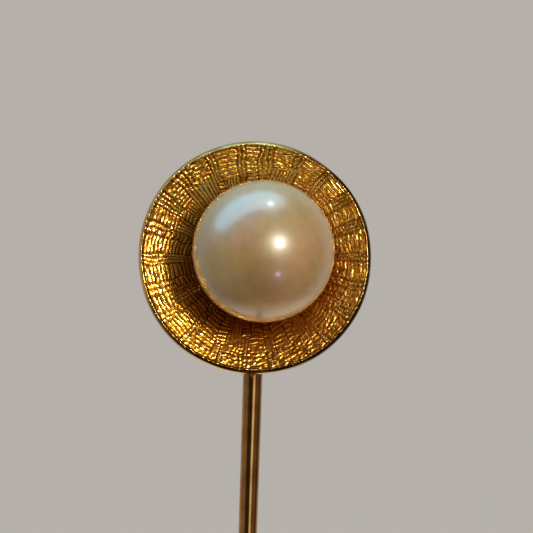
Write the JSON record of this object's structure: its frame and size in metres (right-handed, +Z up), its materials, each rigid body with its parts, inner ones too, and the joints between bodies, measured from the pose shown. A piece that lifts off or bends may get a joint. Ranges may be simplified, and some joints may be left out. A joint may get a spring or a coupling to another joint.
{
  "type": "hat pin",
  "caption": "Stick hat pin: a pearl seated in a dished gold-tone head with a pressed wicker pattern, on a long pointed stem with a push-on point guard.",
  "frame": {"origin": "on the stem's axis, 12 mm below the pearl's centre, where the hat's cloth grips the pin", "axes": "+Z up the stem towards the head, -Y the way the pearl faces, +X to the right as seen from the pearl's side"},
  "size_m": [0.0127, 0.012, 0.0765],
  "materials": {
    "pressed_gold": "bright gold plate over a pressed wicker pattern, darker in the grooves",
    "gold_plate": "satin gold plate",
    "stem_gold": "gold plate with fine drawing lines along the wire",
    "guard_gold": "polished gold plate",
    "braze": "as-flowed braze, lightly cleaned",
    "spring_brass": "bare spring brass",
    "nacre": "lustrous cream nacre",
    "cement": "set clear cement"
  },
  "bodies": {
    "pin": {"dish": "pressed_gold", "pearl": "nacre", "cement": "cement", "seat_cup": "gold_plate", "peg": "gold_plate", "back_pad": "gold_plate", "braze": "braze", "stem": "stem_gold"},
    "guard_grip": {"grip_sleeve": "spring_brass"},
    "guard_cap": {"guard_shell": "guard_gold", "guard_collar": "guard_gold"}
  },
  "joints": [
    {"name": "guard_slide", "type": "slide", "parent": "pin", "child": "guard_grip", "axis": [0, 0, -1], "range_m": [0, 0.014]},
    {"name": "guard_spin", "type": "hinge", "parent": "guard_grip", "child": "guard_cap", "pos_m": [0, 0, -0.0482], "axis": [0, 0, 1], "continuous": true}
  ]
}
